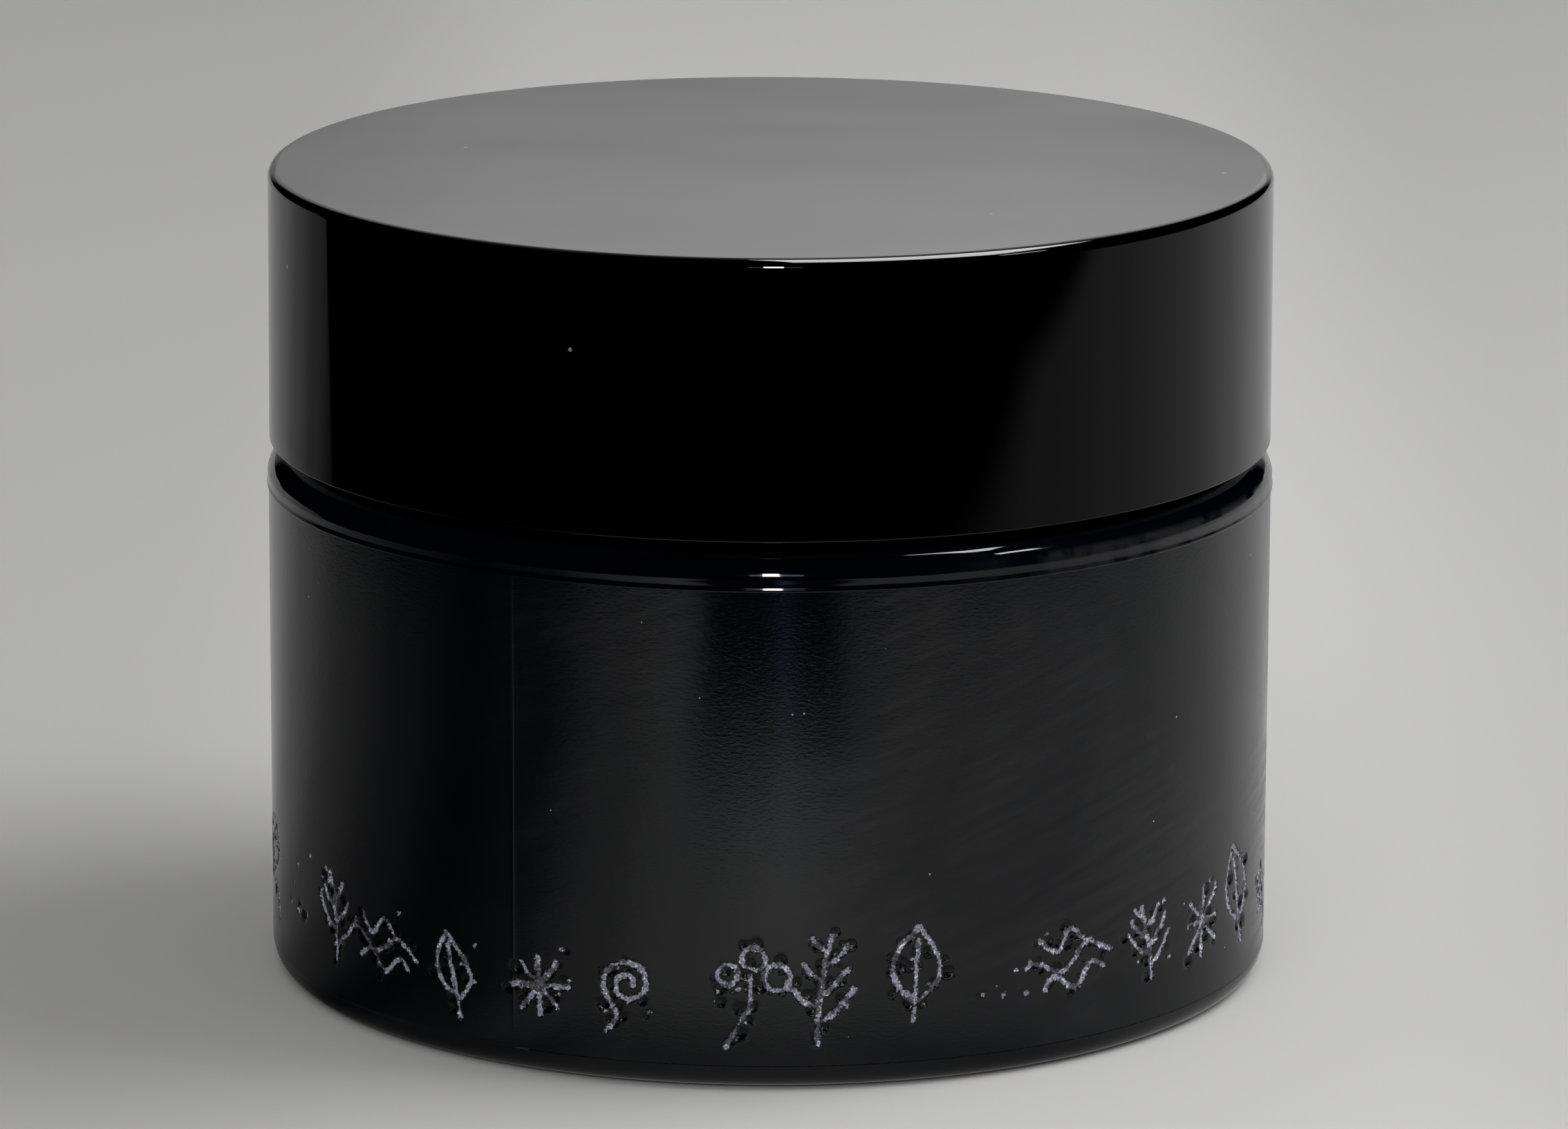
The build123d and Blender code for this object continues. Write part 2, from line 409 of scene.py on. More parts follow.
def walk(line, step):
    """Points spaced along a line."""
    points = [line[0]]
    for (u0, z0), (u1, z1) in zip(line, line[1:]):
        count = max(1, math.ceil(math.hypot(u1 - u0, z1 - z0) / step))
        points += [(u0 + (u1 - u0) * k / count, z0 + (z1 - z0) * k / count) for k in range(1, count + 1)]
    return points


class Engraving:
    """Distances to the ornament's lines and to the chips broken out beside them."""

    def __init__(self, settings, radius):
        self.half = settings.line_width / 2
        self.depth = settings.line_depth
        self.radius = radius
        draw = random.Random(settings.seed + 1)
        points, self.weights, self.chips = [], [], []
        for line, weight in garland_lines(settings, math.tau * radius):
            path = walk(line, 0.06 * MM)
            points += path
            self.weights += [weight * (1 + 0.5 * noise.noise(Vector((u, z, 0)) * 1400)) for u, z in path]
            self.chips += self.break_chips(path, settings.chip_radius, draw)
        self.tree = self.index(points)
        self.chip_tree = self.index([(u, z) for u, z, _ in self.chips])
        self.reach = settings.chip_radius

    @staticmethod
    def index(points):
        tree = kdtree.KDTree(len(points))
        for i, (u, z) in enumerate(points):
            tree.insert((u, z, 0), i)
        tree.balance()
        return tree

    @staticmethod
    def break_chips(path, largest, draw):
        """Chips along one line, most of them small and on one side."""
        chips = []
        for i in range(0, len(path), 5):
            if draw.random() > 0.50:
                continue
            u, z = path[i]
            radius = largest * (0.28 + 0.72 * draw.random() ** 1.6)
            side = draw.uniform(2.2, 4.6) if draw.random() < 0.7 else draw.uniform(-1.0, 1.0)
            off = 0.17 * MM + 0.80 * radius
            chips.append((u + off * math.cos(side), z + off * math.sin(side), radius))
        return chips

    def place(self, co):
        return math.atan2(co.x, -co.y) * self.radius, co.z

    def line_gap(self, co):
        """Distance from the edge of the nearest line, below zero inside it."""
        u, z = self.place(co)
        _, i, away = self.tree.find((u, z, 0))
        return away - self.half * self.weights[i]

    def chip_gap(self, co):
        """Distance from the edge of the nearest chip, and how deep it is here."""
        u, z = self.place(co)
        gap, depth = 1.0 * MM, 0.0
        for _, i, away in self.chip_tree.find_range((u, z, 0), 2 * self.reach):
            radius = self.chips[i][2]
            gap = min(gap, away - radius)
            if away < radius:
                depth = max(depth, 0.42 * radius * (1 - (away / radius) ** 2) ** 0.8)
        return gap, depth

    def depth_at(self, co, gap, chip_depth):
        """How far the glass is cut away at a point of the side."""
        inside = max(0.0, 1 - (gap / self.half + 1) ** 2) if gap < 0 else 0.0
        grain = 0.5 + 0.5 * noise.noise(co * 5200)
        return max(self.depth * inside * (0.55 + 0.9 * grain), chip_depth)


def engrave(bm, radius, heights, settings):
    """Refines the side along the ornament, cuts it in, and keeps the gaps for the finish."""
    cut = Engraving(settings, radius)
    low, high = heights
    near = 0.50 * MM

    def on_band(vert):
        return low < vert.co.z < high and abs(radius_of(vert.co) - radius) < 0.05 * MM
    edges = {e for f in bm.faces if all(on_band(v) for v in f.verts)
             and cut.line_gap(f.calc_center_median()) < near for e in f.edges}
    bmesh.ops.subdivide_edges(bm, edges=list(edges), cuts=1, use_grid_fill=True)
    line_layer = bm.verts.layers.float.new("line_gap")
    chip_layer = bm.verts.layers.float.new("chip_gap")
    for vert in bm.verts:
        vert[line_layer] = vert[chip_layer] = 1.0
        if on_band(vert):
            gap = cut.line_gap(vert.co)
            chip_gap, chip_depth = cut.chip_gap(vert.co)
            vert[line_layer] = gap / MM
            vert[chip_layer] = chip_gap / MM
            seam = radius_of(vert.co) - radius if radius_of(vert.co) > radius else 0.0
            set_radius(vert, radius + seam - cut.depth_at(vert.co, gap, chip_depth))


# ---------------------------------------------------------------- finishes

class Nodes:
    """A node tree, with short ways to add nodes and link them."""

    def __init__(self, tree):
        self.tree = tree

    def set(self, node, inputs):
        for key, value in inputs.items():
            if isinstance(value, bpy.types.NodeSocket):
                self.tree.links.new(value, node.inputs[key])
            else:
                node.inputs[key].default_value = value

    def add(self, kind, inputs=None, output=0, **settings):
        node = self.tree.nodes.new(kind)
        for key, value in settings.items():
            setattr(node, key, value)
        self.set(node, inputs or {})
        return node.outputs[output]

    def math(self, operation, a, b=0.0):
        return self.add("ShaderNodeMath", {0: a, 1: b}, operation=operation)

    def total(self, first, *others):
        for other in others:
            first = self.math("ADD", first, other)
        return first

    def product(self, first, *others):
        for other in others:
            first = self.math("MULTIPLY", first, other)
        return first

    def split(self, vector):
        parts = self.tree.nodes.new("ShaderNodeSeparateXYZ")
        self.tree.links.new(vector, parts.inputs[0])
        return parts.outputs

    def ramp(self, value, low, high, to_low=0.0, to_high=1.0):
        return self.add("ShaderNodeMapRange", {
            "Value": value, "From Min": low, "From Max": high, "To Min": to_low, "To Max": to_high},
            interpolation_type="SMOOTHSTEP")

    def hump(self, value, centre, width):
        """One at the centre, and close to nothing two widths away."""
        off = self.math("DIVIDE", self.math("SUBTRACT", value, centre), width)
        return self.math("EXPONENT", self.product(off, off, -1.0))

    def blend_value(self, factor, a, b):
        return self.add("ShaderNodeMix", {0: factor, 2: a, 3: b})

    def stops(self, value, points):
        """A brightness that follows listed stops of (place, brightness)."""
        low, high = points[0][0], points[-1][0]
        share = self.add("ShaderNodeMapRange", {"Value": value, "From Min": low, "From Max": high})
        node = self.tree.nodes.new("ShaderNodeValToRGB")
        self.tree.links.new(share, node.inputs[0])
        node.color_ramp.interpolation = "EASE"
        held = node.color_ramp.elements
        held.remove(held[1])
        for i, (place, bright) in enumerate(points):
            stop = held[0] if i == 0 else held.new((place - low) / (high - low))
            stop.position = (place - low) / (high - low)
            stop.color = (bright, bright, bright, 1)
        return node.outputs[0]


class Finish(Nodes):
    """A material with one Principled shader."""

    def __init__(self, name, colour, roughness, **inputs):
        self.material = bpy.data.materials.new(name)
        self.material.use_nodes = True
        super().__init__(self.material.node_tree)
        self.shader = self.tree.nodes["Principled BSDF"]
        self.wear(**{"Base Color": (*colour, 1), "Roughness": roughness, **inputs})
        self.where = self.tree.nodes.new("ShaderNodeTexCoord").outputs["Object"]

    def wear(self, **inputs):
        self.set(self.shader, inputs)

    def stretched(self, x, y, z, place=None):
        """Coordinates, scaled differently along each axis."""
        return self.add("ShaderNodeVectorMath", {0: place or self.where, 1: (x, y, z)}, operation="MULTIPLY")

    def leaning(self, slope):
        """The object's coordinates, sheared so that level streaks slant across the front."""
        x, y, z = self.split(self.where)
        return self.add("ShaderNodeCombineXYZ", {0: x, 1: y, 2: self.total(z, self.product(x, slope))})

    def noise(self, scale, detail=3.0, roughness=0.55, where=None, distortion=0.0):
        return self.add("ShaderNodeTexNoise", {
            "Vector": where or self.where, "Scale": scale, "Detail": detail,
            "Roughness": roughness, "Distortion": distortion})

    def cells(self, scale, output="Distance"):
        return self.add("ShaderNodeTexVoronoi", {"Vector": self.where, "Scale": scale}, output=output)

    def cell_chance(self, scale):
        """A number from 0 to 1 for each cell of a fine grid."""
        return self.add("ShaderNodeSeparateColor", {"Color": self.cells(scale, output="Color")})

    def mix(self, factor, a, b):
        node = self.tree.nodes.new("ShaderNodeMix")
        node.data_type = "RGBA"
        a, b = ((*c, 1) if isinstance(c, tuple) else c for c in (a, b))
        self.set(node, {0: factor, 6: a, 7: b})
        return node.outputs[2]

    def bump(self, height, distance, strength=1.0, normal=None):
        inputs = {"Height": height, "Distance": distance, "Strength": strength}
        if normal is not None:
            inputs["Normal"] = normal
        return self.add("ShaderNodeBump", inputs)

    def attribute(self, name):
        return self.add("ShaderNodeAttribute", output="Fac", attribute_name=name)

    def dust(self, scale, share, size):
        """One where a speck of dust lies: a few cells of a fine grid, each with a tiny spot."""
        lucky = self.math("LESS_THAN", self.cell_chance(scale), share)
        spot = self.math("LESS_THAN", self.cells(scale), size)
        return self.product(lucky, spot)


def polished_glass(settings):
    """Fire-polished violet-black glass: shoulder, neck, inside and foot, with a painted sheen on the right of the
    shoulder.
    """
    finish = Finish("polished_glass", settings.glass_colour, 0.06, IOR=1.52)
    waves = finish.noise(170, detail=2)
    smear = finish.ramp(finish.noise(260, detail=4), 0.45, 0.75, 0.035, 0.11)
    x, _, z = finish.split(finish.where)
    # Painted sheen: film colour and more roughness on the right of the shoulder, just above the mould line, stand in
    # for the light reflected there.
    painted_sheen_band = finish.product(finish.ramp(z, 30.9 * MM, 31.3 * MM, 1.0, 0.0), finish.ramp(z, 29.5 * MM, 29.7 * MM),
                             finish.ramp(x, 9 * MM, 20 * MM), finish.ramp(finish.noise(400, detail=4), 0.35, 0.55))
    colour = finish.mix(painted_sheen_band, tuple(settings.glass_colour), tuple(settings.film_and_sheen_colour))
    finish.wear(**{"Base Color": colour, "Roughness": finish.blend_value(painted_sheen_band, smear, 0.2),
                   "Normal": finish.bump(waves, 0.00025, 0.35)})
    return finish.material


def satin_glass(settings, engraving):
    """The moulded side: fine level ripple, handling film, seams and the engraved ornament; the film is masked to
    paint shade on the left and a dark reflection at the front, and the lines carry painted glints.
    """
    finish = Finish("satin_glass", settings.glass_colour, 0.16, IOR=1.5)
    ripple = finish.noise(1.0, detail=3, roughness=0.62, where=finish.stretched(2600, 2600, 6500))
    broad = finish.noise(1.0, detail=2, where=finish.stretched(120, 120, 500))
    level = finish.bump(ripple, 0.00001, 1.0, finish.bump(broad, 0.000005, 1.0))
    seam = finish.bump(mould_seams(finish), 0.00003, 0.7, level)

    cloud = finish.ramp(finish.noise(52, detail=4, roughness=0.6, distortion=0.8), 0.40, 0.66)
    wipes = finish.noise(1.0, detail=6, roughness=0.7, where=finish.stretched(160, 160, 1500, finish.leaning(-0.35)))
    # Painted shade: the film fades out towards the left side, so the left of the side is painted darker.
    held = finish.ramp(finish.split(finish.where)[0], -19 * MM, -7 * MM, 0.12, 1.0)
    film = finish.product(cloud, finish.ramp(wipes, 0.36, 0.68, 0.35, 1.0), held, painted_dark_reflection(finish, wipes))
    colour = finish.mix(film, tuple(settings.glass_colour), tuple(settings.film_and_sheen_colour))
    rough = finish.ramp(film, 0.0, 1.0, 0.11, 0.25)
    colour = finish.mix(finish.dust(1500, 0.02, 0.085), colour, (0.34, 0.34, 0.35))

    line, chip = finish.attribute("line_gap"), finish.attribute("chip_gap")
    lumps = finish.product(finish.math("SUBTRACT", finish.noise(5200, detail=4, roughness=0.65), 0.5), 0.55)
    frost = finish.ramp(finish.total(line, lumps), -0.03, 0.03, 1.0, 0.0)
    chipped = finish.ramp(finish.total(chip, finish.product(lumps, 0.3)), -0.02, 0.02, 1.0, 0.0)
    frost = finish.product(frost, finish.ramp(chipped, 0.0, 1.0, 1.0, 0.25))
    grain = finish.noise(9000, detail=3, roughness=0.7)
    pale = tuple(engraving.frost_colour)
    crushed = finish.mix(finish.ramp(grain, 0.40, 0.60), tuple(0.26 * c for c in pale), pale)
    # Painted glints: a few fine cells of the frosted lines are painted near-white.
    crushed = finish.mix(finish.ramp(finish.cell_chance(8500), 0.90, 0.95), crushed, (0.85, 0.86, 0.95))
    colour = finish.mix(chipped, colour, tuple(0.5 * c for c in settings.glass_colour))
    colour = finish.mix(frost, colour, crushed)
    rough = finish.blend_value(frost, finish.blend_value(chipped, rough, 0.05), 0.6)
    shells = finish.product(finish.noise(2400, detail=2, distortion=1.5), chipped)
    cut = finish.bump(finish.product(grain, frost), 0.00008, 0.9, finish.bump(shells, 0.00009, 0.9, seam))
    finish.wear(**{"Base Color": colour, "Roughness": rough, "Normal": cut})
    return finish.material


def painted_dark_reflection(finish, wipes):
    """Zero where the film is taken off a ragged patch at the front under the mould line, one elsewhere: a painted
    dark reflection.
    """
    x, y, z = finish.split(finish.where)
    ragged = finish.total(x, finish.product(finish.math("SUBTRACT", wipes, 0.5), 7 * MM))
    across = finish.ramp(finish.math("ABSOLUTE", finish.total(ragged, -1.5 * MM)), 4 * MM, 6.5 * MM, 1.0, 0.0)
    # Painted reflection: the patch the front reflects as dark is painted by taking the film away.
    dark_patch = finish.product(across, finish.ramp(z, 18 * MM, 22 * MM), finish.math("LESS_THAN", y, 0.0))
    return finish.ramp(dark_patch, 0.0, 1.0, 1.0, 0.06)


def mould_seams(finish):
    """A narrow ridge where the mould halves met, on both sides of the jar."""
    x, y, _ = finish.split(finish.where)
    off = finish.total(finish.product(x, math.cos(SEAM_TURN)), finish.product(y, math.sin(SEAM_TURN)))
    return finish.hump(off, 0.0, 0.08 * MM)


def gloss_black(settings):
    """Mirror-gloss black plastic with faint handling marks and a few specks of dust."""
    finish = Finish("gloss_black", settings.shell_colour, 0.03, IOR=1.5)
    flow = finish.noise(45, detail=1)
    smear = finish.ramp(finish.noise(140, detail=5, roughness=0.6), 0.50, 0.80, 0.012, 0.06)
    specks = finish.dust(700, 0.012, 0.10)
    colour = finish.mix(specks, tuple(settings.shell_colour), (0.22, 0.22, 0.22))
    finish.wear(**{"Base Color": colour, "Roughness": smear, "Normal": finish.bump(flow, 0.0004, 0.10)})
    return finish.material


def moulded_cap(settings):
    """Semi-matt black polypropylene with fine moulding texture."""
    finish = Finish("moulded_cap", settings.cap_colour, 0.38)
    pattern = finish.noise(2600, detail=3)
    rough = finish.ramp(finish.noise(240, detail=3), 0.3, 0.7, 0.32, 0.46)
    finish.wear(Roughness=rough, Normal=finish.bump(pattern, 0.00002, 0.5))
    return finish.material


def foam_liner(settings):
    """Fine closed-cell foam with small open pores."""
    finish = Finish("foam_liner", settings.liner_colour, 0.62)
    pores = finish.ramp(finish.cells(2600), 0.10, 0.42)
    # Painted shade: the colour is darker in the pores than on the foam around them.
    colour = finish.mix(pores, tuple(0.62 * c for c in settings.liner_colour), tuple(settings.liner_colour))
    finish.wear(**{"Base Color": colour, "Normal": finish.bump(pores, 0.00008, 0.8)})
    finish.wear(**{"Subsurface Weight": 0.15, "Subsurface Scale": 0.001})
    return finish.material


def milky_disc(settings):
    """Thin translucent polyethylene."""
    finish = Finish("milky_disc", settings.disc_colour, 0.34)
    drift = finish.noise(110, detail=3)
    rough = finish.ramp(drift, 0.3, 0.7, 0.28, 0.42)
    finish.wear(Roughness=rough, Normal=finish.bump(finish.noise(900, detail=3), 0.00003, 0.5))
    finish.wear(**{"Subsurface Weight": 0.5, "Subsurface Scale": 0.002})
    return finish.material


# ---------------------------------------------------------------- pieces

def glass_side(bm, settings):
    """The straight side: close rows where it is engraved, and the two mould seams."""
    low = settings.heel_rounding + HEEL_GAP
    side_r, line_z = settings.side_radius, settings.mould_line
    draw_section(bm, [(side_r, low, 0), (side_r, BAND_TOP_Z, 0), (side_r, line_z - TINY, 0)])
    for foot_z, rows in ((low, BAND_ROWS), (BAND_TOP_Z, UPPER_ROWS)):
        span = [e for e in bm.edges if abs(min(v.co.z for v in e.verts) - foot_z) < 1e-7]
        bmesh.ops.subdivide_edges(bm, edges=span, cuts=rows - 1)
    turn_section(bm, bm.verts[:] + bm.edges[:], SIDE_STEPS, SEAM_TURN - math.pi / 2)
    for vert in bm.verts:
        along = (math.atan2(vert.co.x, -vert.co.y) - SEAM_TURN) % math.pi
        if min(along, math.pi - along) < 0.5 * math.tau / SIDE_STEPS and low < vert.co.z < line_z - 2 * TINY:
            set_radius(vert, settings.side_radius + SEAM_HEIGHT)


def rim_loop(bm, height, radius):
    """The open edges that run round at one height and radius."""
    return [e for e in bm.edges if e.is_boundary and all(
        abs(v.co.z - height) < 1e-6 and abs(radius_of(v.co) - radius) < 1e-6 for v in e.verts)]


def soften_step(bm, line_z, shoulder_r, rounding):
    """Sets the shoulder in by a faint wave just above the mould line, on its section line."""
    low, high = line_z + 0.07 * MM, line_z + 1.2 * MM
    edges = [e for e in bm.edges if all(low < v.co.z < high and v.co.x > NECK_R for v in e.verts)]
    bmesh.ops.subdivide_edges(bm, edges=edges, cuts=5)
    for vert in bm.verts:
        if low < vert.co.z < high and vert.co.x > NECK_R:
            up = vert.co.z - line_z
            climb = max(0.0, up - BEAD_H)
            arc = shoulder_r - rounding + math.sqrt(rounding ** 2 - climb ** 2)
            dip = smoothstep(0.12 * MM, 0.30 * MM, up) - smoothstep(0.45 * MM, 0.95 * MM, up)
            vert.co.x = arc - WAVE_DEPTH * dip


def glass_jar(settings, engraving):
    """The whole glass as one closed skin."""
    side_r, line_z = settings.side_radius, settings.mould_line
    shoulder_z = line_z + BEAD_H + settings.shoulder_rounding
    heel_r, shoulder_r = side_r - HEEL_STEP, side_r + SHOULDER_PROUD
    start = SEAM_TURN - math.pi / 2
    foot = bmesh.new()
    draw_section(foot, [
        (0, PUSH_UP, 0), (PUSH_UP_R, PUSH_UP, 3 * MM), (FOOT_IN_R, 0, 1 * MM),
        (heel_r, 0, settings.heel_rounding - 0.02 * MM), (heel_r, settings.heel_rounding, 0)])
    turn_section(foot, foot.verts[:] + foot.edges[:], PLAIN_STEPS, start)
    top = bmesh.new()
    draw_section(top, [
        (side_r + TINY, line_z, 0), (shoulder_r, line_z, LINE_ROUND),
        (shoulder_r, shoulder_z, settings.shoulder_rounding),
        (NECK_R, shoulder_z, 0.8 * MM), (NECK_R, settings.rim_height, 0.7 * MM),
        (settings.mouth_radius, settings.rim_height, 0.7 * MM),
        (settings.mouth_radius, MOUTH_FOOT_Z, 2 * MM), (settings.well_radius, WELL_TOP_Z, 2 * MM),
        (settings.well_radius, WELL_FLOOR_Z, 6 * MM), (0, WELL_FLOOR_Z, 0)], segments=10)
    soften_step(top, line_z, shoulder_r, settings.shoulder_rounding)
    neck = [e for e in top.edges if all(abs(v.co.x - NECK_R) < 1e-6 for v in e.verts)]
    bmesh.ops.subdivide_edges(top, edges=neck, cuts=NECK_ROWS)
    turn_section(top, top.verts[:] + top.edges[:], PLAIN_STEPS, start)
    cut_thread(top, NECK_R, shoulder_z, settings.rim_height, JAR_THREAD_Z, THREAD_START, JAR_THREAD)
    bm = bmesh.new()
    glass_side(bm, settings)
    engrave(bm, side_r, (settings.heel_rounding + 0.3 * MM, BAND_TOP_Z - 0.1 * MM), engraving)
    for face in bm.faces:
        face.material_index = 1
    join_into(bm, foot)
    join_into(bm, top)
    joints = (((settings.heel_rounding, heel_r), (settings.heel_rounding + HEEL_GAP, side_r)),
              ((line_z - TINY, side_r), (line_z, side_r + TINY)))
    for (z0, r0), (z1, r1) in joints:
        bmesh.ops.bridge_loops(bm, edges=rim_loop(bm, z0, r0) + rim_loop(bm, z1, r1))
    close_up(bm)
    return bm


class CREAMJAR_OT_glass(bpy.types.Operator):
    """Builds the glass jar with its thread, mould seams and engraved ornament"""

    bl_idname = "cream_jar.glass"
    bl_label = "Glass jar"

    def execute(self, context):
        chosen = context.scene.cream_jar
        bm = glass_jar(chosen.glass, chosen.engraving)
        finish_piece(bm, "jar_glass", [polished_glass(chosen.glass), satin_glass(chosen.glass, chosen.engraving)],
                     "jar", "glass_jar", crease=48.0)
        return {"FINISHED"}


class CREAMJAR_OT_overshell(bpy.types.Operator):
    """Builds the glossy overshell of the lid"""

    bl_idname = "cream_jar.overshell"
    bl_label = "Lid overshell"

    def execute(self, context):
        lid = context.scene.cream_jar.lid
        foot_r = SHELL_HIGH.x
        bm = turned_part([
            (0, CAP_HIGH.z, 0), (SHELL_IN_R, CAP_HIGH.z, 0.5 * MM), (SHELL_IN_R, SHELL_LOW.z, 0.25 * MM),
            (foot_r, SHELL_LOW.z, 0.10 * MM), (SHELL_TOP_R, SHELL_HIGH.z, lid.edge_rounding),
            (0, SHELL_HIGH.z, 0)], steps=360, segments=12)
        finish_piece(bm, "lid_overshell", [gloss_black(lid)], "lid", "lid_shell", crease=60.0)
        return {"FINISHED"}


class CREAMJAR_OT_inner_cap(bpy.types.Operator):
    """Builds the threaded inner cap with its ribs"""

    bl_idname = "cream_jar.inner_cap"
    bl_label = "Inner cap"

    def execute(self, context):
        lid = context.scene.cream_jar.lid
        flange_z = CAP_LOW.z + CAP_FLANGE_T
        rib_top_z = CAP_HIGH.z - 1.0 * MM
        bm = bmesh.new()
        draw_section(bm, [
            (0, WAD_HIGH.z, 0), (CAP_ROOT_R, WAD_HIGH.z, 0.3 * MM), (CAP_ROOT_R, CAP_LOW.z, 0.3 * MM),
            (CAP_FLANGE_R, CAP_LOW.z, 0.2 * MM), (CAP_FLANGE_R, flange_z, 0.2 * MM),
            (CAP_WALL_R, flange_z, 0.2 * MM), (CAP_WALL_R, rib_top_z, 0),
            (CAP_WALL_R - 0.001 * MM, CAP_HIGH.z, 0.8 * MM), (0, CAP_HIGH.z, 0)], segments=6)
        bore = [e for e in bm.edges if all(abs(v.co.x - CAP_ROOT_R) < 1e-6 for v in e.verts)]
        bmesh.ops.subdivide_edges(bm, edges=bore, cuts=46)
        turn_section(bm, bm.verts[:] + bm.edges[:], CAP_STEPS)
        cut_thread(bm, CAP_ROOT_R, CAP_LOW.z, WAD_LOW.z, CAP_THREAD_Z,
                   THREAD_START + CAP_THREAD_LATER, CAP_THREAD)
        close_up(bm)
        raise_ribs(bm, flange_z, rib_top_z)
        finish_piece(bm, "lid_threaded_cap", [moulded_cap(lid)], "lid", "lid_inner_cap")
        return {"FINISHED"}


def raise_ribs(bm, low, high):
    """Draws every tenth column of the outer wall out to the overshell."""
    every = CAP_STEPS // RIB_COUNT
    columns = []
    for face in bm.faces:
        middle = face.calc_center_median()
        column = int((math.atan2(middle.y, middle.x) % math.tau) / math.tau * CAP_STEPS)
        on_wall = abs(radius_of(middle) - CAP_WALL_R) < 0.05 * MM and low < middle.z < high
        if on_wall and column % every == 0:
            columns.append(face)
    made = bmesh.ops.extrude_face_region(bm, geom=columns)["geom"]
    bmesh.ops.delete(bm, geom=columns, context="FACES")
    for vert in made:
        if isinstance(vert, bmesh.types.BMVert):
            set_radius(vert, SHELL_IN_R)


class CREAMJAR_OT_liner(bpy.types.Operator):
    """Builds the foam wad with the ring that the rim has pressed into it"""

    bl_idname = "cream_jar.liner"
    bl_label = "Foam liner"

    def execute(self, context):
        low, high, edge = WAD_LOW.z, WAD_HIGH.z, WAD_HIGH.x
        pressed = low + LINER_PRESS
        bm = turned_part([
            (0, low, 0), (LINER_PRESS_IN, low, 0.15 * MM), (LINER_PRESS_IN + 0.15 * MM, pressed, 0.1 * MM),
            (LINER_PRESS_OUT - 0.15 * MM, pressed, 0.1 * MM), (LINER_PRESS_OUT, low, 0.15 * MM),
            (edge, low, 0.2 * MM), (edge, high, 0.1 * MM), (0, high, 0)], steps=240, segments=4)
        lid = context.scene.cream_jar.lid
        finish_piece(bm, "foam_liner", [foam_liner(lid)], "liner", "lid_liner")
        return {"FINISHED"}


class CREAMJAR_OT_disc(bpy.types.Operator):
    """Builds the dished sealing disc and its pull tab"""

    bl_idname = "cream_jar.disc"
    bl_label = "Sealing disc"

    def execute(self, context):
        low, high, rim_r = DISC_LOW.z, DISC_HIGH.z, DISC_HIGH.x
        rim_z, floor_z, in_r = GLASS_HIGH.z, DISC_LOW.z + DISC_T, DISC_PLUG_R - DISC_T
        step, ring_r = 0.25 * MM, 14 * MM
        bm = turned_part([
            (0, low, 0), (DISC_PLUG_R, low, DISC_T), (DISC_PLUG_R, rim_z, 0.2 * MM), (rim_r, rim_z, 0.2 * MM),
            (rim_r, high, 0.2 * MM), (in_r, high, DISC_T), (in_r, floor_z, 0.4 * MM),
            (ring_r + 1.2 * MM, floor_z, 0.2 * MM), (ring_r + 0.8 * MM, floor_z + step, 0.2 * MM),
            (ring_r - 0.8 * MM, floor_z + step, 0.2 * MM), (ring_r - 1.2 * MM, floor_z, 0.2 * MM),
            (0, floor_z, 0)], steps=240, segments=6)
        join_into(bm, pull_tab(floor_z - DISC_T / 2, 9 * MM, 0.9 * MM, 2.3 * MM))
        lid = context.scene.cream_jar.lid
        finish_piece(bm, "mouth_disc", [milky_disc(lid)], "disc", "sealing_disc")
        return {"FINISHED"}


def pull_tab(foot_z, width, thickness, height):
    """An upright tab with round shoulders and softened edges."""
    bm = bmesh.new()
    bmesh.ops.create_cube(bm, size=1.0)
    bmesh.ops.scale(bm, verts=bm.verts[:], vec=(width, thickness, height))
    bmesh.ops.translate(bm, verts=bm.verts[:], vec=(0, 0, foot_z + height / 2))
    top = foot_z + height
    shoulders = [e for e in bm.edges if all(abs(v.co.z - top) < 1e-7 for v in e.verts)
                 and abs(e.verts[0].co.x - e.verts[1].co.x) < 1e-7]
    bmesh.ops.bevel(bm, geom=shoulders, affect="EDGES", offset=height * 0.48, offset_type="OFFSET",
                    segments=8, profile=0.5, material=-1)
    outline = [e for e in bm.edges if len(e.link_faces) == 2 and e.calc_face_angle(0) > 1.0]
    bmesh.ops.bevel(bm, geom=outline, affect="EDGES", offset=0.12 * MM, offset_type="OFFSET",
                    segments=3, profile=0.5, material=-1)
    bmesh.ops.recalc_face_normals(bm, faces=bm.faces[:])
    return bm


# ---------------------------------------------------------------- studio

# What the gloss mirrors, by turn from the camera's side: to the left below zero, to the right above
NEAR_LIGHT = ((-180, 0.33), (-140, 0.38), (-120, 0.27), (-100, 0.15), (-80, 0.07), (-62, 0.01), (-46, 0.05),
              (-30, 0.26), (-18, 0.42), (0, 0.36), (30, 0.36), (60, 0.33), (80, 0.36), (100, 0.46),
              (120, 0.54), (140, 0.50), (155, 0.39), (180, 0.33))
FAR_LIGHT = ((-180, 0.42), (-150, 0.34), (-140, 0.30), (-130, 0.21), (-120, 0.125), (-108, 0.03),
             (-60, 0.0), (42, 0.10), (60, 0.155), (80, 0.21), (100, 0.29), (120, 0.43), (135, 0.51),
             (150, 0.51), (180, 0.42))
SKY_LIGHT = ((0, 0.42), (9.5, 0.47), (11.5, 0.76), (25, 0.9), (50, 0.3), (90, 0.05))
NEAR_REACH = (152, 166)


